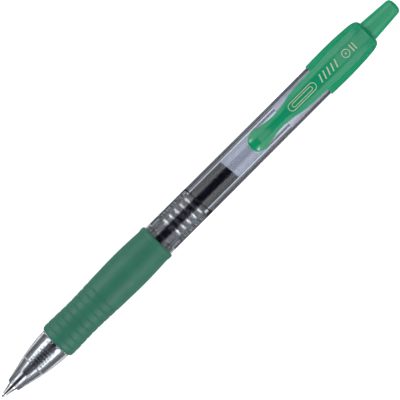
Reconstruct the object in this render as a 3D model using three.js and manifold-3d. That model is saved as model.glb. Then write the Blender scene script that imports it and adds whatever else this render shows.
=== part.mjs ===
// A retractable gel pen lying along X: point towards -X, push button towards +X, clip on top (+Z).
// Lengths are millimetres. A station is a distance along the axis, measured back from the writing ball.
// The origin is under the middle of the pen, on the surface that the grip rests on.

import * as THREE from 'three';
import { mergeVertices } from 'three/addons/utils/BufferGeometryUtils.js';
import Module from 'manifold-3d';

const wasm = await Module();
wasm.setup();

// ---- driving dimensions: stations ----
const LENGTH = 142;
const NOSE_START = 4.1;
const NOSE_END = 19.5;
const GRIP_START = 19.6;
const GRIP_END = 56.4;
const JOINT_LINE = 57.8;
const SPIGOT_END = 70.05;
const THREAD_START = 60.04;
const SLEEVE_START = 101.1;
const CAP_START = 114.4;
const CAP_END = 132;
const CLIP_TIP = 89.6;
const REFILL_END = 110.5;
const INK_END = 82.6;

// ---- driving dimensions: radii ----
const BALL_RADIUS = 0.35;
const POINT_RADIUS = 1.28;
const NOSE_RADIUS = 4.44;
const GRIP_RADIUS = 5.4;
const BARREL_FRONT_RADIUS = 4.65;
const BARREL_REAR_RADIUS = 4.54;
const BARREL_BORE = 3.85;
const CAP_RADIUS = 4.98;
const BUTTON_RADIUS = 2.84;
const REFILL_RADIUS = 3.05;
const CLIP_RADIUS = 7;

// ---- driving dimensions: the screw joint and the spring ----
const THREAD_PITCH = 1.92;
const THREAD_TURNS = 4.8;
const SPRING_RADIUS = 1.85;
const WIRE_RADIUS = 0.17;

// ---- fits ----
const GAP = 0.1;
const SCREW_GAP = 0.15;

// ---- facets ----
const SIDES = 24;
const FINE_SIDES = 12;
const MERGE_DISTANCE = 1e-4;

// ---- geometry helpers ----

// A turned solid about the axis. The section is a list of [station, radius], with the outer side
// taken towards +X. It starts and ends on the axis, or it closes on itself.
function turned(section, sides = SIDES) {
  const points = section.map(([station, radius]) => new THREE.Vector2(radius, station));
  if (section[0][1] > 0) points.push(points[0].clone());
  const geometry = new THREE.LatheGeometry(points, sides, Math.PI / sides);
  return geometry.rotateZ(-Math.PI / 2);
}

// Points [station, radius] on a smooth curve through a few given ones.
function smooth(through, divisions) {
  const curve = new THREE.SplineCurve(through.map(([station, radius]) => new THREE.Vector2(station, radius)));
  return curve.getPoints(divisions).map((point) => [point.x, point.y]);
}

function solidFrom(geometry) {
  geometry.deleteAttribute('normal');
  geometry.deleteAttribute('uv');
  const merged = mergeVertices(geometry, MERGE_DISTANCE);
  const vertProperties = new Float32Array(merged.attributes.position.array);
  const triVerts = new Uint32Array(merged.index.array);
  return new wasm.Manifold(new wasm.Mesh({ numProp: 3, vertProperties, triVerts }));
}

function geometryFrom(solid) {
  const mesh = solid.getMesh();
  const geometry = new THREE.BufferGeometry();
  geometry.setAttribute('position', new THREE.BufferAttribute(new Float32Array(mesh.vertProperties), 3));
  geometry.setIndex(new THREE.BufferAttribute(new Uint32Array(mesh.triVerts), 1));
  geometry.computeVertexNormals();
  return geometry;
}

// A right-handed helical ridge of trapezium section about the axis, as one closed solid. It starts a
// little off the facets' edges, so that no two faces lie in one plane.
function helicalRidge({ start, turns, root, crest, rootWidth, crestWidth }) {
  const stepsPerTurn = 20;
  const firstAngle = 0.05;
  const steps = Math.round(turns * stepsPerTurn);
  const positions = [];
  const index = [];
  for (let i = 0; i <= steps; i += 1) {
    const turn = i / stepsPerTurn;
    const angle = 2 * Math.PI * turn + firstAngle;
    const station = start + THREAD_PITCH * turn;
    const corners = [
      [station - rootWidth / 2, root],
      [station + rootWidth / 2, root],
      [station + crestWidth / 2, crest],
      [station - crestWidth / 2, crest],
    ];
    for (const [x, radius] of corners) {
      positions.push(x, radius * Math.cos(angle), radius * Math.sin(angle));
    }
  }
  for (let i = 0; i < steps; i += 1) {
    for (let k = 0; k < 4; k += 1) {
      const a = 4 * i + k;
      const b = 4 * i + ((k + 1) % 4);
      index.push(a, b, b + 4, a, b + 4, a + 4);
    }
  }
  const last = 4 * steps;
  index.push(0, 2, 1, 0, 3, 2, last, last + 1, last + 2, last, last + 2, last + 3);
  const geometry = new THREE.BufferGeometry();
  geometry.setAttribute('position', new THREE.Float32BufferAttribute(positions, 3));
  geometry.setIndex(index);
  return geometry;
}

// Straight ribs spread evenly around the axis, joined to a solid.
function withRibs(body, { count, from, to, inner, outer, width, firstAngle }) {
  let ribbed = body;
  for (let i = 0; i < count; i += 1) {
    const rib = new THREE.BoxGeometry(to - from, width, outer - inner);
    rib.translate((from + to) / 2, 0, (inner + outer) / 2);
    rib.rotateX(firstAngle + (2 * Math.PI * i) / count);
    ribbed = ribbed.add(solidFrom(rib));
  }
  return ribbed;
}

// ---- the front section ----

const SPIGOT_ROOT = 3.7;
const RIDGE_ROOT = 3.5;
const THREAD_CREST = 4.1;
const THREAD_ROOT_WIDTH = 0.9;
const THREAD_CREST_WIDTH = 0.3;

// The screw thread: with no clearance it is the male ridge, and with a clearance it is the female groove.
function screwRidge(clearance) {
  return helicalRidge({
    start: THREAD_START,
    turns: THREAD_TURNS,
    root: RIDGE_ROOT,
    crest: THREAD_CREST + clearance,
    rootWidth: THREAD_ROOT_WIDTH + 2 * clearance,
    crestWidth: THREAD_CREST_WIDTH + 2 * clearance,
  });
}

// The nose is hollow, with a narrow ledge inside it for the spring to bear on.
function frontBarrel() {
  const mouthRadius = 1.87;
  const seatRadius = 4;
  const pointBore = 1.45;
  const pointBoreEnd = 5.6;
  const hollowEndBore = 2.3;
  const ledgeStart = 11.2;
  const ledgeBore = 1.6;
  const springStop = 11.6;
  const springBoreFront = 2.5;
  const springBoreRear = 3.1;
  const springBoreEnd = 21.5;
  const refillBoreStart = 24;
  const refillBore = 3.3;
  const nose = [[NOSE_START, mouthRadius], [7.7, 2.68], [11.8, 3.61], [15.9, 4.22], [18.9, NOSE_RADIUS]];
  const section = [
    ...smooth(nose, 10),
    [NOSE_END, NOSE_RADIUS],
    [NOSE_END, seatRadius],
    [GRIP_END + GAP, seatRadius],
    [GRIP_END + GAP, BARREL_FRONT_RADIUS],
    [JOINT_LINE, BARREL_FRONT_RADIUS],
    [JOINT_LINE, SPIGOT_ROOT],
    [SPIGOT_END, SPIGOT_ROOT],
    [SPIGOT_END, refillBore],
    [refillBoreStart, refillBore],
    [springBoreEnd, springBoreRear],
    [springStop, springBoreFront],
    [springStop, ledgeBore],
    [ledgeStart, ledgeBore],
    [ledgeStart, hollowEndBore],
    [pointBoreEnd, pointBore],
    [NOSE_START, pointBore],
  ];
  return geometryFrom(solidFrom(turned(section)).add(solidFrom(screwRidge(0))));
}

function gripSleeve() {
  const innerRadius = 4.1;
  const lipRadius = 4.7;
  const flangeRoot = 54.6;
  const flangeRadius = 5.25;
  const rearRadius = 4.95;
  const restStart = 44;
  const restEnd = 46;
  const front = smooth([[20.3, 5.1], [22, 5.14], [29, 4.95], [37, 5.2], [restStart, GRIP_RADIUS]], 8);
  const rear = smooth([[restEnd, GRIP_RADIUS], [50, 5.32], [flangeRoot, 5.1]], 4);
  return turned([
    [GRIP_START, lipRadius],
    ...front,
    ...rear,
    [flangeRoot + 0.4, flangeRadius],
    [GRIP_END - 0.4, flangeRadius],
    [GRIP_END, rearRadius],
    [GRIP_END, innerRadius],
    [GRIP_START, innerRadius],
  ]);
}

// ---- the rear section ----

const BARREL_END = 129.9;
const CAP_WALL_START = 130.2;
const CAP_SEAT_RADIUS = 4.25;
const CLIP_ROOT_END = CAP_END - 0.9;

// The bore is relieved from the mouth to the first thread, so that the ridge can leave as it unscrews.
function rearBarrel() {
  const mouthReliefEnd = THREAD_START + THREAD_ROOT_WIDTH / 2 + SCREW_GAP;
  const section = [
    [JOINT_LINE + GAP, BARREL_FRONT_RADIUS],
    [CAP_START - GAP, BARREL_REAR_RADIUS],
    [CAP_START - GAP, CAP_SEAT_RADIUS],
    [BARREL_END, CAP_SEAT_RADIUS],
    [BARREL_END, BARREL_BORE],
    [mouthReliefEnd, BARREL_BORE],
    [mouthReliefEnd, THREAD_CREST + SCREW_GAP],
    [JOINT_LINE + GAP, THREAD_CREST + SCREW_GAP],
  ];
  return geometryFrom(solidFrom(turned(section)).subtract(solidFrom(screwRidge(SCREW_GAP))));
}

// The clip's outline seen from above: a round paddle end, a neck, and a root that widens onto the cap.
function clipOutline() {
  const rootWidth = 3.35;
  const side = [
    [90.25, 1.8], [92.3, 2.76], [95.3, 2.3], [99, 1.85], [103, 2.2],
    [107, 2.9], [CAP_START, 3.25], [121.3, 3.55], [CLIP_ROOT_END, rootWidth],
  ];
  const shape = new THREE.Shape();
  shape.moveTo(CLIP_TIP, 0);
  shape.splineThru(side.map(([x, y]) => new THREE.Vector2(x, y)));
  shape.lineTo(CLIP_ROOT_END, -rootWidth);
  shape.splineThru([...side.slice(0, -1).reverse(), [CLIP_TIP, 0]].map(([x, y]) => new THREE.Vector2(x, -y)));
  const aboveClip = 2 * CLIP_RADIUS;
  const prism = new THREE.ExtrudeGeometry(shape, { depth: aboveClip, bevelEnabled: false, curveSegments: 2 });
  return solidFrom(prism);
}

// The clip's side view, turned about the axis and then trimmed to its outline.
function clipBlank() {
  const paddleUnderside = 4.82;
  const armUnderside = 5.3;
  const rootStart = 107;
  const rootUnderside = 4.8;
  const insideCapWall = 4.6;
  const insideCapEnd = 4.1;
  const top = [
    [CLIP_TIP, 6], [90.3, 6.9], [92.2, 7.3], [94.2, 7], [97.2, 6.6],
    [108, 6.85], [118, CLIP_RADIUS], [121.8, 6.8], [CLIP_ROOT_END, 4.75],
  ];
  const underside = [
    [CLIP_ROOT_END, insideCapEnd], [CAP_WALL_START + 0.4, insideCapEnd],
    [CAP_WALL_START + 0.1, insideCapWall],
    [CAP_START + 0.5, insideCapWall], [CAP_START, rootUnderside], [rootStart + 0.4, rootUnderside],
    [rootStart, armUnderside], [97, armUnderside], [93.8, paddleUnderside],
    [91, paddleUnderside], [CLIP_TIP, 5.5],
  ];
  const section = [...top, ...underside];
  return solidFrom(turned(section));
}

function clipCap() {
  const seatBore = CAP_SEAT_RADIUS + SCREW_GAP;
  const buttonHole = 3.02;
  const shell = [
    [CAP_START, 4.89], [121.3, CAP_RADIUS], [125.4, 4.86], [129.5, 4.57],
    [131, 4.25], [131.7, 3.85], [CAP_END, 3.45],
    [CAP_END, buttonHole], [CAP_WALL_START, buttonHole], [CAP_WALL_START, seatBore], [CAP_START, seatBore],
  ];
  return geometryFrom(solidFrom(turned(shell)).add(clipBlank().intersect(clipOutline())));
}

// ---- the click mechanism ----

const RIB_COUNT = 4;
const SLEEVE_BORE = 3.4;

function camSleeve() {
  const outerRadius = BARREL_BORE - GAP;
  const sleeveEnd = BARREL_END - GAP;
  const section = [
    [SLEEVE_START, outerRadius], [sleeveEnd, outerRadius],
    [sleeveEnd, SLEEVE_BORE], [SLEEVE_START, SLEEVE_BORE],
  ];
  const insideWall = SLEEVE_BORE + 0.15;
  const guideRibs = {
    count: RIB_COUNT, from: 116.2, to: 122, inner: 2.9, outer: insideWall, width: 1.5, firstAngle: 0,
  };
  return geometryFrom(withRibs(solidFrom(turned(section)), guideRibs));
}

function camRotor() {
  const start = REFILL_END + 0.3;
  const end = 116.5;
  const radius = 2.55;
  const bore = 1.2;
  const section = [[start, radius], [end, radius], [end, bore], [start, bore]];
  const betweenGuides = 0.65;
  const ribs = {
    count: RIB_COUNT, from: 112.6, to: 115.4, inner: 2, outer: 3.2, width: 0.7, firstAngle: betweenGuides,
  };
  return geometryFrom(withRibs(solidFrom(turned(section)), ribs));
}

function pushButton() {
  const stemStart = 116.8;
  const stemRadius = 2.45;
  const stemBore = 1.6;
  const boreEnd = 138;
  const flangeStart = 124.2;
  const flangeEnd = 125;
  const flangeRadius = 3.25;
  const taperStart = CAP_END + 0.5;
  const endRadius = 2.25;
  const cornerRadius = 1.2;
  const cornerSteps = 3;
  const corner = [];
  for (let k = 0; k <= cornerSteps; k += 1) {
    const angle = (Math.PI / 2 / cornerSteps) * k;
    corner.push([
      LENGTH - cornerRadius * (1 - Math.sin(angle)),
      endRadius - cornerRadius * (1 - Math.cos(angle)),
    ]);
  }
  return turned([
    [boreEnd, 0], [boreEnd, stemBore], [stemStart, stemBore], [stemStart, stemRadius],
    [flangeStart, stemRadius], [flangeStart, flangeRadius], [flangeEnd, flangeRadius],
    [flangeEnd, BUTTON_RADIUS], [taperStart, BUTTON_RADIUS],
    ...corner,
    [LENGTH, 0],
  ]);
}

// ---- the refill ----

const SHANK_END = 8.4;
const HOLDER_END = 43.2;
const TUBE_START = 38.1;
const TUBE_BORE = 2.6;
const SPRING_SEAT = 34.6;
const FILL_RADIUS = TUBE_BORE - GAP;

function ballPoint() {
  const rim = 0.28;
  const socketRadius = 0.41;
  const socketEnd = 2 * BALL_RADIUS + 0.06;
  const rimRadius = 0.5;
  const stubEnd = 11.2;
  const stubRadius = 0.6;
  return turned([
    [socketEnd, 0], [socketEnd, socketRadius], [rim, socketRadius], [rim, rimRadius],
    [NOSE_START, POINT_RADIUS], [SHANK_END, POINT_RADIUS], [SHANK_END, stubRadius],
    [stubEnd, stubRadius], [stubEnd, 0],
  ], FINE_SIDES);
}

function writingBall() {
  return new THREE.SphereGeometry(BALL_RADIUS, FINE_SIDES, FINE_SIDES / 2).translate(BALL_RADIUS, 0, 0);
}

function tipHolder() {
  const neckRadius = 1.25;
  const shoulderRadius = 2.1;
  const shoulderEnd = 36;
  const bore = 0.75;
  return turned([
    [SHANK_END + GAP, neckRadius], [SPRING_SEAT, neckRadius],
    [SPRING_SEAT, shoulderRadius], [shoulderEnd, REFILL_RADIUS],
    [TUBE_START - GAP, REFILL_RADIUS], [TUBE_START - GAP, FILL_RADIUS], [HOLDER_END, FILL_RADIUS],
    [HOLDER_END, bore], [SHANK_END + GAP, bore],
  ]);
}

function refillTube() {
  return turned([
    [TUBE_START, REFILL_RADIUS], [REFILL_END, REFILL_RADIUS],
    [REFILL_END, TUBE_BORE], [TUBE_START, TUBE_BORE],
  ]);
}

function refillInk() {
  const stemRadius = 0.6;
  const stemStart = 11.4;
  const columnStart = HOLDER_END + GAP;
  return turned([
    [stemStart, 0], [stemStart, stemRadius], [columnStart, stemRadius], [columnStart, FILL_RADIUS],
    [INK_END, FILL_RADIUS], [INK_END, 0],
  ]);
}

function inkFollower() {
  const start = INK_END + GAP;
  const length = 10;
  return turned([[start, 0], [start, FILL_RADIUS], [start + length, FILL_RADIUS], [start + length, 0]]);
}

function tailPlug() {
  const end = REFILL_END - GAP;
  const length = 2.4;
  const vent = 0.5;
  return turned([[end - length, FILL_RADIUS], [end, FILL_RADIUS], [end, vent], [end - length, vent]]);
}

// ---- the return spring ----

const SPRING_START = 12.1;
const COILS = [
  { turns: 6, pitch: 0.86 },
  { turns: 8, pitch: 2.01 },
  { turns: 2, pitch: 0.45 },
];

const SPRING_TURNS = COILS.reduce((sum, coil) => sum + coil.turns, 0);

class SpringPath extends THREE.Curve {
  getPoint(t) {
    let left = t * SPRING_TURNS;
    let station = SPRING_START;
    for (const coil of COILS) {
      const turns = Math.min(left, coil.turns);
      station += turns * coil.pitch;
      left -= turns;
    }
    const angle = 2 * Math.PI * t * SPRING_TURNS;
    return new THREE.Vector3(station, SPRING_RADIUS * Math.cos(angle), SPRING_RADIUS * Math.sin(angle));
  }
}

function returnSpring() {
  const wireSides = 5;
  const stepsPerTurn = 12;
  const corners = [];
  for (let k = 0; k < wireSides; k += 1) {
    const angle = (2 * Math.PI * k) / wireSides;
    corners.push(new THREE.Vector2(WIRE_RADIUS * Math.cos(angle), WIRE_RADIUS * Math.sin(angle)));
  }
  const wire = new THREE.Shape(corners);
  const steps = SPRING_TURNS * stepsPerTurn;
  return new THREE.ExtrudeGeometry(wire, { steps, extrudePath: new SpringPath() });
}

// ---- the assembly ----

const clearPlastic = { color: 0xd9dbe6, roughness: 0.08, metalness: 0, transparent: true, opacity: 0.45 };
const greenPlastic = { color: 0x1f9a6c, roughness: 0.3, metalness: 0 };
const greenRubber = { color: 0x2f7a60, roughness: 0.65, metalness: 0 };
const whitePlastic = { color: 0xe4e6e6, roughness: 0.4, metalness: 0 };
const translucentPlastic = { color: 0xdfe3e6, roughness: 0.3, metalness: 0, transparent: true, opacity: 0.6 };
const steel = { color: 0xc8ccd0, roughness: 0.2, metalness: 1 };
const carbide = { color: 0x8d9094, roughness: 0.15, metalness: 1 };
const blackInk = { color: 0x0a0c12, roughness: 0.2, metalness: 0 };
const clearGrease = { color: 0xd8dcd2, roughness: 0.2, metalness: 0, transparent: true, opacity: 0.5 };

const pen = new THREE.Group();

function place(name, geometry, finish, group = pen) {
  const mesh = new THREE.Mesh(geometry, new THREE.MeshStandardMaterial(finish));
  mesh.name = name;
  group.add(mesh);
}

const refill = new THREE.Group();
const mechanism = new THREE.Group();
pen.add(refill, mechanism);

place('front_barrel', frontBarrel(), clearPlastic);
place('grip_sleeve', gripSleeve(), greenRubber);
place('rear_barrel', rearBarrel(), clearPlastic);
place('clip_cap', clipCap(), greenPlastic);
place('cam_sleeve', camSleeve(), whitePlastic, mechanism);
place('cam_rotor', camRotor(), whitePlastic, mechanism);
place('push_button', pushButton(), greenPlastic, mechanism);
place('return_spring', returnSpring(), steel, mechanism);
place('refill_tube', refillTube(), translucentPlastic, refill);
place('refill_ink', refillInk(), blackInk, refill);
place('ink_follower', inkFollower(), clearGrease, refill);
place('tail_plug', tailPlug(), whitePlastic, refill);
place('tip_holder', tipHolder(), translucentPlastic, refill);
place('ball_point', ballPoint(), steel, refill);
place('writing_ball', writingBall(), carbide, refill);

// the pen rests on the lowest flat of its grip
const axisHeight = GRIP_RADIUS * Math.cos(Math.PI / SIDES);
pen.position.set(-LENGTH / 2, 0, axisHeight);

const scene = new THREE.Group();
scene.add(pen);

export default scene;
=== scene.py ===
# A retractable gel pen with a clear barrel, a green rubber grip and a green clip, seen from above.
# Lengths in this file are millimetres until they become vertices. A station is a distance along the
# pen's axis, measured back from the writing ball, as in the CAD model.

import math

import bmesh
import bpy
import numpy as np
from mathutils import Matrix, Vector


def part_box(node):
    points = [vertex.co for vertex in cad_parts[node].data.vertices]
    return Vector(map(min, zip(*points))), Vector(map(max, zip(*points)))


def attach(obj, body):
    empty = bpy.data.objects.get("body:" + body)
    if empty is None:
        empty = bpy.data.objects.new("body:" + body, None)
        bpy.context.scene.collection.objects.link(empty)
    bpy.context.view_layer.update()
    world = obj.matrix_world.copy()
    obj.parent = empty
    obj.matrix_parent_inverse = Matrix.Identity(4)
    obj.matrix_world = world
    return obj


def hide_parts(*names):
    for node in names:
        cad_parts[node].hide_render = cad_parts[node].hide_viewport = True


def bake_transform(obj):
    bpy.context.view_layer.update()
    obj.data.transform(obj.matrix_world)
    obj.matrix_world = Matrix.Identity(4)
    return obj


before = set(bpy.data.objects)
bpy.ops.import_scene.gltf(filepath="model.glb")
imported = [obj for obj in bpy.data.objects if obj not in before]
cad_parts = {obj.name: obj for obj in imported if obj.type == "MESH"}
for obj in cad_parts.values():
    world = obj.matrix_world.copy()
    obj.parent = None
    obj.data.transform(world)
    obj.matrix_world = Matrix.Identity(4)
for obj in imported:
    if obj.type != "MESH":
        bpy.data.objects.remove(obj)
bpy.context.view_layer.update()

# ---- the frame's own measures ----

MM = 0.001
TIP_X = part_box("writing_ball")[0].x
AXIS_Z = (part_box("rear_barrel")[0].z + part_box("rear_barrel")[1].z) / 2


def station_of(x):
    return (x - TIP_X) / MM


def start_of(node):
    return station_of(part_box(node)[0].x)


def end_of(node):
    return station_of(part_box(node)[1].x)


LENGTH = end_of("push_button")
NOSE_START = start_of("front_barrel")
SPIGOT_END = end_of("front_barrel")
GRIP_START = start_of("grip_sleeve")
GRIP_END = end_of("grip_sleeve")
JOINT_LINE = start_of("rear_barrel")
BARREL_END = end_of("rear_barrel")
CLIP_TIP = start_of("clip_cap")
CAP_END = end_of("clip_cap")
SLEEVE_START = start_of("cam_sleeve")
SLEEVE_END = end_of("cam_sleeve")
TUBE_START = start_of("refill_tube")
REFILL_END = end_of("refill_tube")
HOLDER_END = end_of("tip_holder")
INK_END = end_of("refill_ink")

# ---- sizes shared by pieces that fit each other ----

NOSE_END = 19.5
CAP_START = 114.4
BARREL_FRONT = 4.65
BARREL_REAR = 4.54
BARREL_BORE = 3.85
CAP_SEAT = 4.25
REFILL_BORE = 3.3
REFILL_RADIUS = 3.05
TUBE_BORE = 2.6
SPIGOT_ROOT = 3.7
THREAD_START = 60.04
THREAD_PITCH = 1.92
THREAD_TURNS = 4.8
THREAD_HEIGHT = 0.4
THREAD_ANGLE = 0.05
THREAD_GAP = 0.15
SHANK_END = 8.4
SHANK_RADIUS = 1.28
STUB_END = 11.2
BALL_RADIUS = 0.35
GAP = 0.1


# ---- shapes ----


def in_scene(name, mesh):
    """A new object with this mesh, linked to the scene."""
    piece = bpy.data.objects.new(name, mesh)
    bpy.context.scene.collection.objects.link(piece)
    return piece


def shade(mesh, sharp_angle):
    """Smooth shading, with edges sharp where the faces turn by more than the angle in degrees."""
    mesh.polygons.foreach_set("use_smooth", [True] * len(mesh.polygons))
    mesh.set_sharp_from_angle(angle=math.radians(sharp_angle))


def mesh_object(name, vertices, faces, sharp_angle=35):
    """A shaded object with these faces, all turned outwards."""
    mesh = bpy.data.meshes.new(name)
    mesh.from_pydata(vertices, [], faces)
    mesh.validate()
    working = bmesh.new()
    working.from_mesh(mesh)
    bmesh.ops.recalc_face_normals(working, faces=working.faces)
    working.to_mesh(mesh)
    working.free()
    shade(mesh, sharp_angle)
    return in_scene(name, mesh)


def place(station, y, z):
    """A point given by its station and its offsets from the axis, in the frame's metres."""
    return (TIP_X + station * MM, y * MM, AXIS_Z + z * MM)


def curve_through(points, steps):
    """Points on a smooth curve through the given ones, with the same number of steps in each stretch."""
    padded = [points[0], *points, points[-1]]
    made = []
    for a, b, c, d in zip(padded, padded[1:], padded[2:], padded[3:]):
        for i in range(steps):
            t = i / steps
            made.append(
                tuple(
                    b[k]
                    + 0.5 * t * (c[k] - a[k])
                    + t * t * (a[k] - 2.5 * b[k] + 2 * c[k] - 0.5 * d[k])
                    + t**3 * (1.5 * (b[k] - c[k]) + 0.5 * (d[k] - a[k]))
                    for k in range(2)
                )
            )
    return [*made, tuple(points[-1])]


def rounded(section):
    """A closed outline of (station, radius) points. A third number on a point rounds that corner.

    A point just outside each rounding keeps the shading of the long faces beside it straight."""
    steps = 4
    made = []
    for i, point in enumerate(section):
        here = Vector(point[:2])
        if len(point) == 2:
            made.append(point)
            continue
        before = Vector(section[i - 1][:2]) - here
        after = Vector(section[(i + 1) % len(section)][:2]) - here
        reach = min(point[2], 0.49 * before.length, 0.49 * after.length)
        hold = min(reach + 0.05, 0.495 * before.length, 0.495 * after.length)
        first, last = here + before.normalized() * reach, here + after.normalized() * reach
        made.append(tuple(here + before.normalized() * hold))
        for k in range(steps + 1):
            t = k / steps
            made.append(tuple(first * (1 - t) ** 2 + here * 2 * t * (1 - t) + last * t * t))
        made.append(tuple(here + after.normalized() * hold))
    return made


def ring_faces(rings, around, closed):
    """Quads between rings of equally many points, and back to the first ring if closed."""
    faces = []
    for i in range(rings if closed else rings - 1):
        a, b = i * around, ((i + 1) % rings) * around
        for k in range(around):
            n = (k + 1) % around
            faces.append((a + k, a + n, b + n, b + k))
    return faces


def turned(name, section, sides=96, relief=None, sharp_angle=35):
    """A turned piece. The section closes on itself, or starts and ends on the axis.

    relief(station, radius, angle) may move a point in or out, for a thread."""
    on_axis = section[0][1] == 0
    profile = section[1:-1] if on_axis else section
    vertices = []
    for station, radius in profile:
        for k in range(sides):
            angle = 2 * math.pi * k / sides
            r = relief(station, radius, angle) if relief else radius
            vertices.append(place(station, r * math.cos(angle), r * math.sin(angle)))
    faces = ring_faces(len(profile), sides, closed=not on_axis)
    if on_axis:
        last = (len(profile) - 1) * sides
        vertices.append(place(section[0][0], 0, 0))
        vertices.append(place(section[-1][0], 0, 0))
        first_pole, last_pole = len(vertices) - 2, len(vertices) - 1
        for k in range(sides):
            n = (k + 1) % sides
            faces.append((first_pole, n, k))
            faces.append((last_pole, last + k, last + n))
    return mesh_object(name, vertices, faces, sharp_angle)


def stations(start, end, step):
    """Evenly spaced stations from start to end, with both ends."""
    count = max(1, round(abs(end - start) / step))
    return [start + (end - start) * i / count for i in range(count + 1)]


def ridge(station, angle, profile, first_turn, last_turn):
    """How high a screw ridge stands at a place, from 0 beside it to 1 on its crest.

    The profile pairs distances from the crest with heights. Both ends of the ridge fade out."""
    fade = 0.2
    turn = (angle - THREAD_ANGLE) / (2 * math.pi)
    along = (station - THREAD_START) / THREAD_PITCH - turn
    nearest = round(along)
    into = nearest + turn
    height = np.interp(abs(along - nearest) * THREAD_PITCH, *profile)
    run_out = min(1, max(0, (into - first_turn) / fade), max(0, (last_turn - into) / fade))
    return float(height) * run_out


def joined(name, pieces):
    """One object from several that overlap or lie beside each other."""
    target = bmesh.new()
    for piece in pieces:
        target.from_mesh(piece.data)
    mesh = bpy.data.meshes.new(name)
    target.to_mesh(mesh)
    target.free()
    for piece in pieces:
        bpy.data.objects.remove(piece)
    return in_scene(name, mesh)


def block(corners_low, corners_high, turn, bevel=0.12):
    """A small block with softened edges, turned about the axis. Corners are (station, y, z)."""
    working = bmesh.new()
    bmesh.ops.create_cube(working, size=1)
    low, high = Vector(corners_low), Vector(corners_high)
    cos, sin = math.cos(turn), math.sin(turn)
    for vertex in working.verts:
        vertex.co = Vector(
            (low[k] + high[k]) / 2 + vertex.co[k] * (high[k] - low[k]) for k in range(3)
        )
    bmesh.ops.bevel(
        working, geom=working.edges[:], offset=bevel, segments=2, affect="EDGES", profile=0.5
    )
    for vertex in working.verts:
        s, y, z = vertex.co
        vertex.co = place(s, y * cos - z * sin, y * sin + z * cos)
    mesh = bpy.data.meshes.new("block")
    working.to_mesh(mesh)
    working.free()
    shade(mesh, sharp_angle=50)
    return in_scene("block", mesh)


# ---- materials ----

# The sockets of a Mix node whose data are colours.
MIX_FACTOR, MIX_FIRST, MIX_SECOND, MIX_RESULT = 0, 6, 7, 2


class Finish:
    """A node material under construction: a Principled shader and the textures that feed it."""

    def __init__(self, name, **values):
        self.material = bpy.data.materials.new(name)
        self.material.use_nodes = True
        self.nodes = self.material.node_tree.nodes
        self.links = self.material.node_tree.links
        self.shader = self.nodes["Principled BSDF"]
        for socket, value in values.items():
            self.shader.inputs[socket.replace("_", " ")].default_value = value
        self.place = self.nodes.new("ShaderNodeTexCoord").outputs["Object"]

    def noise(self, scale, stretch=(1, 1, 1), detail=3.0):
        """Noise over the object. The scale is in cells per metre, and stretch multiplies it by axis."""
        mapping = self.nodes.new("ShaderNodeMapping")
        mapping.inputs["Scale"].default_value = stretch
        self.links.new(self.place, mapping.inputs["Vector"])
        noise = self.nodes.new("ShaderNodeTexNoise")
        noise.inputs["Scale"].default_value = scale
        noise.inputs["Detail"].default_value = detail
        self.links.new(mapping.outputs["Vector"], noise.inputs["Vector"])
        return noise.outputs["Fac"]

    def spread(self, source, low, high):
        """The source, spread over a range of values."""
        ranged = self.nodes.new("ShaderNodeMapRange")
        ranged.inputs["From Min"].default_value = 0.3
        ranged.inputs["From Max"].default_value = 0.7
        ranged.inputs["To Min"].default_value = low
        ranged.inputs["To Max"].default_value = high
        self.links.new(source, ranged.inputs["Value"])
        return ranged.outputs["Result"]

    def colours(self, source, low, high):
        """Base colour running between two colours with the source."""
        ramp = self.nodes.new("ShaderNodeValToRGB")
        ramp.color_ramp.elements[0].position = 0.3
        ramp.color_ramp.elements[1].position = 0.7
        ramp.color_ramp.elements[0].color = (*low, 1)
        ramp.color_ramp.elements[1].color = (*high, 1)
        self.links.new(source, ramp.inputs["Fac"])
        self.links.new(ramp.outputs["Color"], self.shader.inputs["Base Color"])

    def roughness(self, source, low, high):
        self.links.new(self.spread(source, low, high), self.shader.inputs["Roughness"])

    def bump(self, source, depth, strength=1.0):
        """Surface relief from the source. The depth is in millimetres."""
        bump = self.nodes.new("ShaderNodeBump")
        bump.inputs["Distance"].default_value = depth * MM
        bump.inputs["Strength"].default_value = strength
        self.links.new(source, bump.inputs["Height"])
        self.links.new(bump.outputs["Normal"], self.shader.inputs["Normal"])

    def let_light_through(self, tint):
        """Shadow rays pass a clear material, so that the light reaches what is inside it."""
        output = self.nodes["Material Output"]
        path = self.nodes.new("ShaderNodeLightPath")
        clear = self.nodes.new("ShaderNodeBsdfTransparent")
        clear.inputs["Color"].default_value = (*tint, 1)
        mix = self.nodes.new("ShaderNodeMixShader")
        self.links.new(path.outputs["Is Shadow Ray"], mix.inputs["Fac"])
        self.links.new(self.shader.outputs["BSDF"], mix.inputs[1])
        self.links.new(clear.outputs["BSDF"], mix.inputs[2])
        self.links.new(mix.outputs["Shader"], output.inputs["Surface"])


def clear_plastic():
    finish = Finish("clear_plastic", Roughness=0.03, IOR=1.5, Transmission_Weight=1.0)
    flow = finish.noise(60, stretch=(0.3, 1, 1))
    finish.colours(flow, (0.88, 0.91, 0.955), (0.92, 0.94, 0.975))
    finish.bump(finish.noise(120, stretch=(0.15, 1, 1), detail=0.0), 0.002)
    finish.let_light_through((0.96, 0.96, 0.98))
    return finish.material


def refill_plastic():
    finish = Finish("refill_plastic", Roughness=0.08, IOR=1.49, Transmission_Weight=1.0)
    flow = finish.noise(90, stretch=(0.2, 1, 1))
    finish.colours(flow, (0.87, 0.89, 0.94), (0.92, 0.93, 0.97))
    finish.bump(finish.noise(400, stretch=(0.1, 1, 1), detail=1.0), 0.002)
    finish.let_light_through((0.95, 0.95, 0.97))
    return finish.material


def holder_plastic():
    finish = Finish("holder_plastic", Roughness=0.08, IOR=1.49, Transmission_Weight=0.95)
    finish.colours(finish.noise(200), (0.84, 0.85, 0.90), (0.90, 0.90, 0.94))
    finish.bump(finish.noise(500, detail=1.0), 0.002)
    finish.let_light_through((0.9, 0.9, 0.92))
    return finish.material


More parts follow.
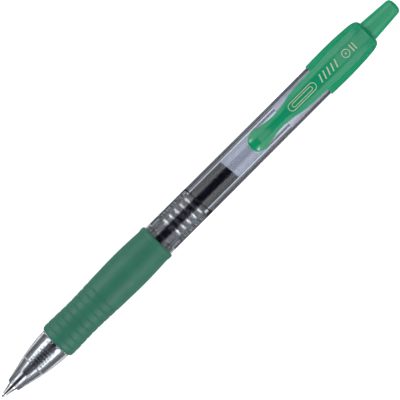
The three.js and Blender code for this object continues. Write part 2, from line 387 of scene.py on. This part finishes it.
def green_plastic(name, smoothest, roughest):
    finish = Finish(
        name, IOR=1.6, Subsurface_Weight=0.8, Subsurface_Scale=0.001, Coat_Weight=0.5, Coat_Roughness=0.1
    )
    finish.shader.inputs["Subsurface Radius"].default_value = (0.2, 1.0, 0.5)
    flow = finish.noise(140, stretch=(0.35, 1, 1))
    finish.colours(flow, (0.004, 0.41, 0.19), (0.006, 0.455, 0.22))
    finish.roughness(finish.noise(700, stretch=(0.3, 1, 1)), smoothest, roughest)
    finish.bump(finish.noise(3200, stretch=(0.4, 1, 1)), 0.0015)
    return finish.material


def grip_rubber():
    finish = Finish("grip_rubber", IOR=1.48, Sheen_Weight=0.2, Sheen_Roughness=0.5)
    mottle = finish.noise(220)
    finish.colours(mottle, (0.021, 0.182, 0.112), (0.029, 0.210, 0.133))
    finish.roughness(finish.noise(1200), 0.44, 0.56)
    finish.bump(finish.noise(9000, detail=4.0), 0.012)
    return finish.material


def mechanism_plastic():
    finish = Finish("mechanism_plastic", IOR=1.49, Roughness=0.15, Transmission_Weight=0.55)
    finish.colours(finish.noise(160), (0.70, 0.71, 0.77), (0.78, 0.78, 0.83))
    finish.bump(finish.noise(2200), 0.004)
    finish.let_light_through((0.8, 0.8, 0.84))
    return finish.material


def black_ink():
    finish = Finish("black_ink", IOR=1.36, Specular_IOR_Level=0.2)
    finish.colours(finish.noise(300), (0.0025, 0.0028, 0.006), (0.004, 0.0045, 0.009))
    finish.roughness(finish.noise(150), 0.12, 0.2)
    return finish.material


def clear_grease():
    finish = Finish("clear_grease", IOR=1.46, Roughness=0.1, Transmission_Weight=0.9)
    finish.colours(finish.noise(500), (0.78, 0.80, 0.84), (0.86, 0.87, 0.90))
    finish.bump(finish.noise(900), 0.01)
    finish.let_light_through((0.9, 0.9, 0.9))
    return finish.material


def point_metal():
    finish = Finish("point_metal", Metallic=1.0)
    finish.colours(finish.noise(800, stretch=(12, 1, 1)), (0.62, 0.62, 0.63), (0.74, 0.74, 0.74))
    finish.roughness(finish.noise(2500, stretch=(14, 1, 1)), 0.1, 0.2)
    finish.bump(finish.noise(6000, stretch=(16, 1, 1)), 0.002)
    return finish.material


def ball_carbide():
    finish = Finish("ball_carbide", Metallic=1.0)
    finish.colours(finish.noise(9000), (0.20, 0.20, 0.21), (0.27, 0.27, 0.28))
    finish.roughness(finish.noise(12000), 0.12, 0.22)
    return finish.material


def spring_steel():
    finish = Finish("spring_steel", Metallic=1.0)
    finish.colours(finish.noise(1500), (0.38, 0.39, 0.41), (0.48, 0.49, 0.51))
    finish.roughness(finish.noise(3000), 0.16, 0.28)
    finish.bump(finish.noise(14000), 0.002)
    return finish.material


def gold_print():
    finish = Finish("gold_print", Metallic=0.1)
    finish.colours(finish.noise(1800), (0.56, 0.74, 0.48), (0.70, 0.86, 0.60))
    finish.roughness(finish.noise(4000), 0.35, 0.5)
    finish.bump(finish.noise(9000), 0.004)
    return finish.material


MATERIALS = {
    "clear_plastic": clear_plastic(),
    "refill_plastic": refill_plastic(),
    "holder_plastic": holder_plastic(),
    "green_plastic": green_plastic("green_plastic", 0.15, 0.22),
    "button_plastic": green_plastic("button_plastic", 0.32, 0.42),
    "grip_rubber": grip_rubber(),
    "mechanism_plastic": mechanism_plastic(),
    "black_ink": black_ink(),
    "clear_grease": clear_grease(),
    "point_metal": point_metal(),
    "ball_carbide": ball_carbide(),
    "spring_steel": spring_steel(),
    "gold_print": gold_print(),
}


def dress(piece, look):
    """Gives a piece its material, chosen by the look's name."""
    piece.data.materials.clear()
    piece.data.materials.append(MATERIALS[look])
    return piece


# ---- the front section ----


def front_barrel():
    mouth = 1.87
    nose_radius = 4.44
    grip_seat = 4.0
    point_bore = 1.45
    ledge_bore = 1.6
    ledge_start, spring_stop = 11.47, 11.6
    nose = [(NOSE_START, mouth), (7.7, 2.68), (11.8, 3.61), (15.9, 4.22), (18.9, nose_radius)]
    joint = JOINT_LINE - GAP
    flange = GRIP_END + GAP
    section = rounded(
        [
            (NOSE_START, point_bore, 0.1),
            (NOSE_START, mouth, 0.12),
            *curve_through(nose, 10)[1:],
            (NOSE_END, nose_radius, 0.15),
            (NOSE_END, grip_seat, 0.1),
            (flange, grip_seat),
            (flange, BARREL_FRONT, 0.12),
            (joint, BARREL_FRONT, 0.1),
            (joint, SPIGOT_ROOT, 0.15),
            *[(s, SPIGOT_ROOT) for s in stations(THREAD_START - 0.4, SPIGOT_END - 0.2, 0.08)],
            (SPIGOT_END, SPIGOT_ROOT, 0.15),
            (SPIGOT_END, REFILL_BORE, 0.1),
            (24, REFILL_BORE, 0.6),
            (21.5, 3.1, 0.6),
            (spring_stop, 2.5, 0.15),
            (spring_stop, ledge_bore, 0.03),
            (ledge_start, ledge_bore, 0.03),
            (ledge_start, 2.3, 0.15),
            (5.6, point_bore, 0.3),
        ]
    )

    ridge_profile = ([0.15, 0.45], [1, 0])

    def thread(station, radius, angle):
        if radius != SPIGOT_ROOT:
            return radius
        return radius + THREAD_HEIGHT * ridge(station, angle, ridge_profile, 0, THREAD_TURNS)

    piece = turned("front_barrel_clear", section, sides=128, relief=thread)
    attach(piece, "front")
    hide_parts("front_barrel")
    return dress(piece, "clear_plastic")


def grip_sleeve():
    """The rubber grip: a shallow waist, ring grooves towards the nose, and a flange at its rear end."""
    groove_start, groove_pitch, groove_count = 21.75, 2.05, 8
    groove_depth, groove_width = 0.14, 0.2
    lip, bore = 4.7, 4.1
    flange_root = 54.6
    outline = [
        (20.3, 5.1), (22, 5.14), (29, 4.95), (37, 5.2), (45, 5.4), (50, 5.32), (flange_root, 5.1),
    ]
    smooth = curve_through(outline, 24)

    def outer(station):
        radius = float(np.interp(station, [s for s, _ in smooth], [r for _, r in smooth]))
        for k in range(groove_count):
            away = (station - groove_start - k * groove_pitch) / groove_width
            radius -= groove_depth * math.exp(-away * away)
        return radius

    section = rounded(
        [
            (GRIP_START, bore, 0.15),
            (GRIP_START, lip, 0.3),
            (20.1, 5.05, 0.3),
            *[(s, outer(s)) for s in stations(20.5, flange_root - 0.1, 0.08)],
            (flange_root + 0.05, 5.08, 0.1),
            (flange_root + 0.35, 5.25, 0.3),
            (GRIP_END - 0.35, 5.25, 0.35),
            (GRIP_END, 4.95, 0.2),
            (GRIP_END, bore, 0.1),
        ]
    )
    piece = turned("grip_rubber_sleeve", section, sides=128)
    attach(piece, "grip")
    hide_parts("grip_sleeve")
    return dress(piece, "grip_rubber")


# ---- the rear section ----


def rear_barrel():
    """The clear barrel: a female thread behind its relieved mouth, and a seat for the cap."""
    crest = SPIGOT_ROOT + THREAD_HEIGHT + THREAD_GAP
    relief_end = THREAD_START + 0.6
    thread_end = SPIGOT_END + 1.5
    seat_start = CAP_START - GAP
    section = rounded(
        [
            (JOINT_LINE, crest, 0.1),
            (JOINT_LINE, BARREL_FRONT, 0.12),
            (seat_start, BARREL_REAR, 0.1),
            (seat_start, CAP_SEAT, 0.08),
            (BARREL_END, CAP_SEAT, 0.15),
            (BARREL_END, BARREL_BORE, 0.1),
            *[(s, BARREL_BORE) for s in stations(thread_end, relief_end + 0.2, 0.04)],
            (relief_end, BARREL_BORE, 0.1),
            (relief_end, crest, 0.1),
        ]
    )

    groove_depth = crest - BARREL_BORE
    between_grooves = THREAD_PITCH / 2
    groove_profile = ([between_grooves - 0.36, between_grooves - 0.18, between_grooves], [1, 0.34, 0])
    first_turn, last_turn = -2, THREAD_TURNS + 0.8

    def thread(station, radius, angle):
        if radius != BARREL_BORE or station > thread_end:
            return radius
        return radius + groove_depth * ridge(station, angle, groove_profile, first_turn, last_turn)

    piece = turned("rear_barrel_clear", section, sides=128, relief=thread)
    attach(piece, "barrel")
    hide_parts("rear_barrel")
    return dress(piece, "clear_plastic")


CLIP_ROOT_END = CAP_END - 0.9
CLIP_SIDE = [
    (CLIP_TIP, 0), (90.25, 1.8), (92.3, 2.76), (95.3, 2.3), (99, 1.85), (103, 2.2),
    (107, 2.9), (CAP_START, 3.25), (121.3, 3.55), (CLIP_ROOT_END, 3.35),
]
CLIP_TOP = [
    (CLIP_TIP, 6.0), (90.3, 6.9), (92.2, 7.3), (94.2, 7.0), (97.2, 6.6), (108, 6.85),
    (118, 7.0), (121.8, 6.8), (127, 5.9), (CLIP_ROOT_END, 4.75),
]
CLIP_UNDER = [
    (CLIP_TIP, 5.5), (91, 4.95), (93.6, 4.95), (97, 5.35), (106.8, 5.35), (107.6, 4.85),
    (CAP_START, 4.8), (CAP_START + 0.6, 4.6), (CLIP_ROOT_END - 0.6, 4.5), (CLIP_ROOT_END, 4.1),
]
CLIP_CROWN = [(CLIP_TIP, 3.3), (93, 3.3), (97, 3.6), (102, 3.8), (107, 6.2), (CLIP_ROOT_END, 6.9)]


def along_clip(points):
    smooth = curve_through(points, 12)
    at, value = [s for s, _ in smooth], [v for _, v in smooth]
    return lambda station: float(np.interp(station, at, value))


clip_top = along_clip(CLIP_TOP)
clip_crown = along_clip(CLIP_CROWN)


def clip_surface(station, y):
    """How high above the axis the clip's top is, at a station and an offset to the side."""
    crown = clip_crown(station)
    return clip_top(station) - crown + math.sqrt(max(crown**2 - y**2, 0))


def clip_ring(station, half, under):
    """One cross-section of the clip: a crowned top, rounded edges, sides, and a hollow underside."""
    half = max(half, 0.02)
    under_z = math.sqrt(max(under**2 - half**2, 0))
    edge = min(0.5, 0.6 * half, 0.45 * max(clip_surface(station, half) - under_z, 0.1))
    across, corner = 12, 5
    flat = half - edge
    ring = []
    for i in range(across + 1):
        y = flat * (2 * i / across - 1)
        ring.append((y, clip_surface(station, y)))
    shoulder = clip_surface(station, flat)
    for i in range(1, corner + 1):
        turn = math.pi / 2 * i / corner
        ring.append((flat + edge * math.sin(turn), shoulder - edge * (1 - math.cos(turn))))
    for i in range(across + 1):
        y = half * (1 - 2 * i / across)
        ring.append((y, math.sqrt(max(under**2 - y**2, 0))))
    for i in range(corner, 0, -1):
        turn = math.pi / 2 * i / corner
        ring.append((-flat - edge * math.sin(turn), shoulder - edge * (1 - math.cos(turn))))
    return ring


def clip_arm():
    under = along_clip(CLIP_UNDER)
    outline = curve_through(CLIP_SIDE, 14)
    rings = [
        [place(s, y, z) for y, z in clip_ring(s, half, under(s))]
        for s, half in outline
        if CLIP_TIP <= s <= CLIP_ROOT_END
    ]
    around = len(rings[0])
    vertices = [point for ring in rings for point in ring]
    faces = ring_faces(len(rings), around, closed=False)
    faces.append(tuple(range(around)))
    faces.append(tuple(range(len(vertices) - around, len(vertices))))
    return mesh_object("clip_arm", vertices, faces, sharp_angle=50)


def cap_shell():
    seat_bore = CAP_SEAT + THREAD_GAP
    button_hole = 3.02
    wall_start = 130.2
    outline = [
        (CAP_START + 0.2, 4.9), (117.5, 4.95), (121.3, 4.98), (125.4, 4.86), (129.3, 4.6), (130.7, 4.35),
        (131.5, 4.0), (131.9, 3.6), (CAP_END, 3.3),
    ]
    section = rounded(
        [
            (CAP_START, seat_bore, 0.1),
            (CAP_START, 4.89, 0.15),
            *curve_through(outline, 8),
            (CAP_END, button_hole, 0.1),
            (wall_start, button_hole, 0.1),
            (wall_start, seat_bore, 0.2),
        ]
    )
    return turned("cap_shell", section, sides=128)


def clip_cap():
    piece = joined("clip_and_cap", [cap_shell(), clip_arm()])
    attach(piece, "barrel")
    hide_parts("clip_cap")
    return dress(piece, "green_plastic")


# ---- the marks on the clip: plain outlines and bars, with no lettering ----


def ribbon(points, width, closed=False):
    """A printed line that lies on the clip's top. Points are (station, offset to the side)."""
    lift = 0.012
    step = 0.12
    dense = []
    pairs = list(zip(points, points[1:] + points[:1]))
    for a, b in pairs if closed else pairs[:-1]:
        a, b = Vector(a), Vector(b)
        count = max(1, math.ceil((b - a).length / step))
        dense.extend(a.lerp(b, i / count) for i in range(count))
    if not closed:
        dense.append(Vector(points[-1]))
    vertices, faces = [], []
    total = len(dense)
    for i, here in enumerate(dense):
        before = dense[i - 1] if closed or i > 0 else here
        after = dense[(i + 1) % total] if closed or i < total - 1 else here
        along = (after - before).normalized()
        side = Vector((-along.y, along.x)) * width / 2
        for point in (here + side, here - side):
            vertices.append(place(point.x, point.y, clip_surface(point.x, point.y) + lift))
    for i in range(total if closed else total - 1):
        n = (i + 1) % total
        faces.append((2 * i, 2 * i + 1, 2 * n + 1, 2 * n))
    return mesh_object("ribbon", vertices, faces)


def oval(start, end, half, corner):
    """A box with round corners, as points."""
    points = []
    for cx, cy, first in (
        (end - corner, half - corner, 0), (start + corner, half - corner, 1),
        (start + corner, corner - half, 2), (end - corner, corner - half, 3),
    ):
        for k in range(7):
            turn = math.pi / 2 * (first + k / 6)
            points.append((cx + corner * math.cos(turn), cy + corner * math.sin(turn)))
    return points


def clip_marks():
    line = 0.2
    half = 1.05
    marks = [ribbon(oval(103.4, 112.6, half, half * 0.98), line, closed=True)]
    marks.append(ribbon(oval(104.6, 111.4, half - 0.55, half - 0.57), line, closed=True))
    slant = 0.8
    for k in range(5):
        at = 114.2 + 1.35 * k
        marks.append(ribbon([(at, -half), (at + slant, half)], 0.34))
    ring_start = 122.5
    ring_centre = ring_start + half
    marks.append(ribbon(oval(ring_start, ring_start + 2 * half, half, half * 0.98), line, closed=True))
    marks.append(ribbon([(ring_centre - 0.2, 0), (ring_centre + 0.2, 0)], 0.4))
    for k in range(2):
        at = 125.6 + 0.9 * k
        marks.append(ribbon([(at, -half), (at, half)], 0.3))
    piece = joined("clip_marks", marks)
    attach(piece, "barrel")
    return dress(piece, "gold_print")


# ---- the click mechanism ----


def cam_sleeve():
    outer = BARREL_BORE - GAP
    bore = 3.4
    section = rounded(
        [
            (SLEEVE_START, bore, 0.15), (SLEEVE_START, outer, 0.15),
            (SLEEVE_END, outer, 0.15), (SLEEVE_END, bore, 0.15),
        ]
    )
    parts = [turned("tube", section, sides=96)]
    guide_start, guide_end, guide_half, guide_inner = 116.2, 122, 0.75, 2.9
    guide_outer = bore + 0.15
    for k in range(4):
        turn = math.pi / 2 * (k + 1)
        low = (guide_start, -guide_half, guide_inner)
        parts.append(block(low, (guide_end, guide_half, guide_outer), turn))
    piece = joined("cam_sleeve_with_guides", parts)
    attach(piece, "barrel")
    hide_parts("cam_sleeve")
    return dress(piece, "mechanism_plastic")


def cam_rotor():
    start, end = start_of("cam_rotor"), end_of("cam_rotor")
    radius, bore = 2.55, 1.2
    section = rounded(
        [(start, bore, 0.2), (start, radius, 0.2), (end, radius, 0.3), (end, bore, 0.3)]
    )
    parts = [turned("hub", section, sides=64)]
    rib_start, rib_end, rib_half, rib_inner, rib_outer = 112.6, 115.4, 0.35, 2, 3.2
    first_rib = 0.65
    for k in range(4):
        turn = first_rib + math.pi / 2 * k
        low = (rib_start, -rib_half, rib_inner)
        parts.append(block(low, (rib_end, rib_half, rib_outer), turn, bevel=0.1))
    piece = joined("cam_rotor_with_ribs", parts)
    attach(piece, "rotor")
    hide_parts("cam_rotor")
    return dress(piece, "mechanism_plastic")


def push_button():
    start = start_of("push_button")
    stem, stem_bore, bore_end = 2.45, 1.6, 138
    flange_start, flange_end, flange = 124.2, 125, 3.25
    body, end_radius, corner = 2.84, 2.25, 1.2
    taper_start = CAP_END + 0.5
    round_end = []
    steps = 12
    for k in range(steps + 1):
        turn = math.pi / 2 * k / steps
        station = LENGTH - corner * (1 - math.sin(turn))
        round_end.append((station, end_radius - corner * (1 - math.cos(turn))))
    section = [(bore_end, 0)]
    section += rounded(
        [
            (bore_end, stem_bore, 0.3), (start, stem_bore, 0.15), (start, stem, 0.2),
            (flange_start, stem, 0.1), (flange_start, flange, 0.12), (flange_end, flange, 0.12),
            (flange_end, body, 0.1), (taper_start, body), *round_end,
        ]
    )
    section.append((LENGTH, 0))
    piece = turned("push_button_green", section, sides=96, sharp_angle=50)
    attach(piece, "button")
    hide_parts("push_button")
    return dress(piece, "button_plastic")


# ---- the refill ----


def ball_point():
    """The metal point: a tapered cone with a spun rim that holds the ball, and a stepped shank."""
    rim, rim_radius = 0.28, 0.5
    socket = 0.41
    socket_end = 2 * BALL_RADIUS + 0.06
    stub = 0.6
    section = [(socket_end, 0)]
    section += rounded(
        [
            (socket_end, socket), (rim + 0.05, socket, 0.03), (rim, rim_radius - 0.06, 0.03),
            (rim + 0.12, rim_radius + 0.02, 0.1), (1.1, 0.62, 0.2), (1.9, 0.78, 0.3),
            (NOSE_START - 0.1, SHANK_RADIUS - 0.02, 0.5), (6.2, SHANK_RADIUS, 0.1),
            (SHANK_END, SHANK_RADIUS, 0.1), (SHANK_END, stub, 0.1), (STUB_END, stub, 0.15),
        ]
    )
    section.append((STUB_END, 0))
    piece = turned("ball_point_metal", section, sides=64)
    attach(piece, "refill")
    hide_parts("ball_point")
    return dress(piece, "point_metal")


def writing_ball():
    steps = 24
    section = []
    for k in range(steps + 1):
        turn = math.pi * k / steps
        across = 0 if k in (0, steps) else BALL_RADIUS * math.sin(turn)
        section.append((BALL_RADIUS * (1 - math.cos(turn)), across))
    piece = turned("writing_ball_polished", section, sides=48, sharp_angle=60)
    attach(piece, "ball")
    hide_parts("writing_ball")
    return dress(piece, "ball_carbide")


def tip_holder():
    neck, bore, fill = 1.25, 0.75, TUBE_BORE - GAP
    start = SHANK_END + GAP
    tube_edge = TUBE_START - GAP
    section = rounded(
        [
            (start, bore), (start, neck, 0.15), (34.6, neck, 0.2), (34.6, 2.1, 0.15),
            (36, REFILL_RADIUS, 0.3), (tube_edge, REFILL_RADIUS, 0.15), (tube_edge, fill, 0.1),
            (HOLDER_END, fill, 0.3), (HOLDER_END, bore),
        ]
    )
    piece = turned("tip_holder_moulded", section, sides=64)
    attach(piece, "refill")
    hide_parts("tip_holder")
    return dress(piece, "holder_plastic")


def refill_tube():
    section = rounded(
        [
            (TUBE_START, TUBE_BORE, 0.1), (TUBE_START, REFILL_RADIUS, 0.12),
            (REFILL_END, REFILL_RADIUS, 0.12), (REFILL_END, TUBE_BORE, 0.1),
        ]
    )
    piece = turned("refill_tube_clear", section, sides=96)
    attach(piece, "refill")
    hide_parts("refill_tube")
    return dress(piece, "refill_plastic")


WET_RADIUS = TUBE_BORE + 0.015


def ink_face(station, radius, angle, shift=0.0):
    """The ink's slanted, crowned rear face, as a station."""
    y = radius * math.cos(angle) / WET_RADIUS
    return station + shift - 0.5 * (radius / WET_RADIUS) ** 2 - 0.32 * y


def filled_column(name, start, end, start_face, end_face, stem=None):
    """A column of liquid that wets the tube's wall. A face function bends each end."""
    sides = 96
    rings = 8
    rows = []
    for i in range(rings + 1):
        rows.append((start, WET_RADIUS * i / rings, start_face))
    for i in range(rings, -1, -1):
        rows.append((end, WET_RADIUS * i / rings, end_face))
    if stem:
        rows = [(station, radius, None) for station, radius in stem] + rows[2:]
    vertices = []
    for station, radius, face in rows:
        for k in range(sides):
            angle = 2 * math.pi * k / sides
            at = face(station, radius, angle) if face else station
            vertices.append(place(at, radius * math.cos(angle), radius * math.sin(angle)))
    faces = ring_faces(len(rows), sides, closed=False)
    piece = mesh_object(name, vertices, faces, sharp_angle=40)
    working = bmesh.new()
    working.from_mesh(piece.data)
    bmesh.ops.remove_doubles(working, verts=working.verts, dist=1e-7)
    bmesh.ops.dissolve_degenerate(working, edges=working.edges, dist=1e-8)
    bmesh.ops.recalc_face_normals(working, faces=working.faces)
    working.to_mesh(piece.data)
    working.free()
    return piece


def refill_ink():
    start = HOLDER_END + GAP
    stem_radius, around_stub = 0.765, 0.62
    stem_start, shoulder = STUB_END + GAP, SHANK_END + 0.2
    stem = [
        (stem_start, 0), (stem_start, around_stub), (shoulder, around_stub), (shoulder, stem_radius),
        (start, stem_radius),
    ]
    piece = filled_column("refill_ink_column", start, INK_END, None, ink_face, stem)
    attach(piece, "refill")
    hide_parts("refill_ink")
    return dress(piece, "black_ink")


def ink_follower():
    start, end = start_of("ink_follower"), end_of("ink_follower")

    def hollow(station, radius, angle):
        return station - 0.35 + 0.35 * (radius / WET_RADIUS) ** 2

    def behind_ink(station, radius, angle):
        return ink_face(station, radius, angle, shift=-0.05)

    piece = filled_column("ink_follower_grease", start, end, behind_ink, hollow)
    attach(piece, "refill")
    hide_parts("ink_follower")
    return dress(piece, "clear_grease")


def tail_plug():
    start, end = start_of("tail_plug"), end_of("tail_plug")
    fill, vent = TUBE_BORE - GAP, 0.5
    section = rounded(
        [(start, vent, 0.1), (start, fill, 0.25), (end, fill, 0.12), (end, vent, 0.15)]
    )
    piece = turned("tail_plug_moulded", section, sides=64)
    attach(piece, "refill")
    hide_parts("tail_plug")
    return dress(piece, "mechanism_plastic")


# ---- the return spring ----


def return_spring():
    """A coil of round wire."""
    wire, coil_radius = 0.17, 1.85
    coils = [(5.7, 0.86), (7.5, 2.2), (1.9, 0.45)]
    first_angle = math.radians(-79)
    front = start_of("return_spring") + wire
    steps_per_turn, wire_sides = 40, 10
    total = sum(turns for turns, _ in coils)
    count = round(total * steps_per_turn)

    def centre(t):
        left, station = t, front
        for turns, pitch in coils:
            part = min(left, turns)
            station += part * pitch
            left -= part
        angle = first_angle + 2 * math.pi * t
        return Vector((station, coil_radius * math.cos(angle), coil_radius * math.sin(angle)))

    vertices = []
    for i in range(count + 1):
        t = total * i / count
        here = centre(t)
        along = (centre(t + 0.001) - centre(t - 0.001)).normalized()
        out = Vector((0, here.y, here.z)).normalized()
        across = along.cross(out).normalized()
        out = across.cross(along)
        for k in range(wire_sides):
            turn = 2 * math.pi * k / wire_sides
            point = here + wire * (math.cos(turn) * out + math.sin(turn) * across)
            vertices.append(place(*point))
    faces = ring_faces(count + 1, wire_sides, closed=False)
    faces.append(tuple(range(wire_sides)))
    faces.append(tuple(range(len(vertices) - wire_sides, len(vertices))))
    piece = mesh_object("return_spring_wire", vertices, faces, sharp_angle=60)
    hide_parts("return_spring")
    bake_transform(piece)
    return dress(piece, "spring_steel")


# ---- camera, floor and lights ----


def camera():
    """Straight down on the pen, which runs across the picture's diagonal."""
    frame_width = 0.1023
    lens, sensor = 180, 36
    turn = math.radians(44.95)
    centre_x, centre_y = 0.34 * MM, -0.18 * MM
    data = bpy.data.cameras.new("camera")
    data.lens = lens
    data.sensor_width = sensor
    data.clip_start = 0.01
    data.clip_end = 50
    made = bpy.data.objects.new("camera", data)
    made.location = (centre_x, centre_y, AXIS_Z + frame_width * lens / sensor)
    made.rotation_euler = (0, 0, -turn)
    bpy.context.scene.collection.objects.link(made)
    bpy.context.scene.camera = made


def floor():
    """A pale floor that is lit evenly, so that the pen casts hardly any shadow.

    Seen through the clear plastic it has painted shade: darker bands beneath the pen's middle line and
    beyond its sides, drawn together at the nose, with a bright band between. They are greys at distances
    from the pen's middle line."""
    half = 3.0
    ramp_width = 10 * MM
    nose_share = 0.45
    taper_end = 16
    # Painted shade: greys by millimetres from the pen's middle line, seen only by rays through the clear
    # plastic; dark under the middle and beyond the sides, bright between.
    painted_shade_bands = [(0, 0.45), (10, 0.1), (2, 0.5), (2.8, 0.95), (4.3, 0.95), (5.2, 0.1)]
    corners = [(-half, -half, 0), (half, -half, 0), (half, half, 0), (-half, half, 0)]
    piece = mesh_object("floor", corners, [(0, 1, 2, 3)])
    finish = Finish("floor_paper_painted_shade", Roughness=0.9)
    finish.bump(finish.noise(900), 0.01)
    path = finish.nodes.new("ShaderNodeLightPath").outputs
    glow = finish.nodes.new("ShaderNodeMapRange")
    glow.inputs["To Min"].default_value = 0.26
    glow.inputs["To Max"].default_value = 0.9
    finish.links.new(path["Is Camera Ray"], glow.inputs["Value"])
    finish.links.new(glow.outputs["Result"], finish.shader.inputs["Emission Strength"])
    parts = finish.nodes.new("ShaderNodeSeparateXYZ")
    finish.links.new(finish.place, parts.inputs["Vector"])
    taper = finish.nodes.new("ShaderNodeMapRange")
    taper.inputs["From Min"].default_value = TIP_X + NOSE_START * MM
    taper.inputs["From Max"].default_value = TIP_X + taper_end * MM
    taper.inputs["To Min"].default_value = nose_share * ramp_width
    taper.inputs["To Max"].default_value = ramp_width
    finish.links.new(parts.outputs["X"], taper.inputs["Value"])
    sideways = finish.nodes.new("ShaderNodeMath")
    sideways.operation = "ABSOLUTE"
    finish.links.new(parts.outputs["Y"], sideways.inputs[0])
    away = finish.nodes.new("ShaderNodeMath")
    away.operation = "DIVIDE"
    finish.links.new(sideways.outputs["Value"], away.inputs[0])
    finish.links.new(taper.outputs["Result"], away.inputs[1])
    # The painted shade bands, looked up by distance from the middle line.
    through = finish.nodes.new("ShaderNodeValToRGB")
    for k, (offset, grey) in enumerate(painted_shade_bands):
        stops = through.color_ramp.elements
        stop = stops[k] if k < 2 else stops.new(offset * MM / ramp_width)
        stop.position = offset * MM / ramp_width
        stop.color = (grey, grey, grey, 1)
    finish.links.new(away.outputs["Value"], through.inputs["Fac"])
    directly = finish.nodes.new("ShaderNodeMath")
    directly.operation = "MAXIMUM"
    finish.links.new(path["Is Camera Ray"], directly.inputs[0])
    finish.links.new(path["Is Diffuse Ray"], directly.inputs[1])
    # Camera and diffuse rays see plain pale paper; other rays see the painted shade bands, which also
    # glow dimly through the emission.
    paper_and_painted_shade = finish.nodes.new("ShaderNodeMix")
    paper_and_painted_shade.data_type = "RGBA"
    paper_and_painted_shade.inputs[MIX_SECOND].default_value = (0.85, 0.85, 0.85, 1)
    finish.links.new(directly.outputs["Value"], paper_and_painted_shade.inputs[MIX_FACTOR])
    finish.links.new(through.outputs["Color"], paper_and_painted_shade.inputs[MIX_FIRST])
    finish.links.new(paper_and_painted_shade.outputs[MIX_RESULT], finish.shader.inputs["Base Color"])
    finish.links.new(paper_and_painted_shade.outputs[MIX_RESULT], finish.shader.inputs["Emission Color"])
    piece.data.materials.append(finish.material)


def softbox(name, heading, edges, length, brightness):
    """A long lamp. The heading is its compass direction, and its edges are angles from the zenith."""
    distance = 0.6
    near_edge, far_edge = (math.radians(edge) for edge in edges)
    lean = (near_edge + far_edge) / 2
    heading = math.radians(heading)
    width = 2 * distance * math.tan((far_edge - near_edge) / 2)
    data = bpy.data.lights.new(name, "AREA")
    data.shape = "RECTANGLE"
    data.size = length
    data.size_y = width
    data.energy = brightness * math.pi * length * width
    data.color = (0.97, 0.985, 1.0)
    made = bpy.data.objects.new(name, data)
    sideways = distance * math.sin(lean)
    made.location = (
        sideways * math.cos(heading), sideways * math.sin(heading), AXIS_Z + distance * math.cos(lean)
    )
    made.rotation_euler = (-lean, 0, heading - math.pi / 2)
    made.visible_camera = False
    bpy.context.scene.collection.objects.link(made)


def softboxes():
    """Two long lamps beside the pen leave a dark gap straight above it.

    Two small ones towards the point brighten the nose, and one behind brightens the clip."""
    softbox("softbox_left", 90, (31, 85), 1.0, 1.0)
    softbox("softbox_right", -90, (31, 85), 1.0, 1.0)
    softbox("softbox_rear", 0, (12, 50), 0.5, 0.8)
    softbox("lamp_left", 114, (52, 70), 0.17, 9)
    softbox("lamp_right", -114, (52, 70), 0.17, 10)


def surroundings():
    """White to the camera, and almost black to whatever the pen reflects."""
    world = bpy.data.worlds.new("studio")
    world.use_nodes = True
    nodes, links = world.node_tree.nodes, world.node_tree.links
    background = nodes["Background"]
    path = nodes.new("ShaderNodeLightPath")
    mix = nodes.new("ShaderNodeMix")
    mix.data_type = "RGBA"
    mix.inputs[MIX_FIRST].default_value = (0.015, 0.015, 0.018, 1)
    mix.inputs[MIX_SECOND].default_value = (1, 1, 1, 1)
    links.new(path.outputs["Is Camera Ray"], mix.inputs[MIX_FACTOR])
    links.new(mix.outputs[MIX_RESULT], background.inputs["Color"])
    bpy.context.scene.world = world


def light_paths():
    """Enough bounces for the clear walls, one inside another."""
    cycles = bpy.context.scene.cycles
    cycles.max_bounces = 24
    cycles.transmission_bounces = 24
    cycles.glossy_bounces = 8
    cycles.diffuse_bounces = 4
    cycles.transparent_max_bounces = 24
    cycles.use_denoising = True
    bpy.context.scene.view_settings.view_transform = "Standard"


camera()
floor()
softboxes()
surroundings()
light_paths()

front_barrel()
grip_sleeve()
rear_barrel()
clip_cap()
clip_marks()
cam_sleeve()
cam_rotor()
push_button()
ball_point()
writing_ball()
tip_holder()
refill_tube()
refill_ink()
ink_follower()
tail_plug()
return_spring()
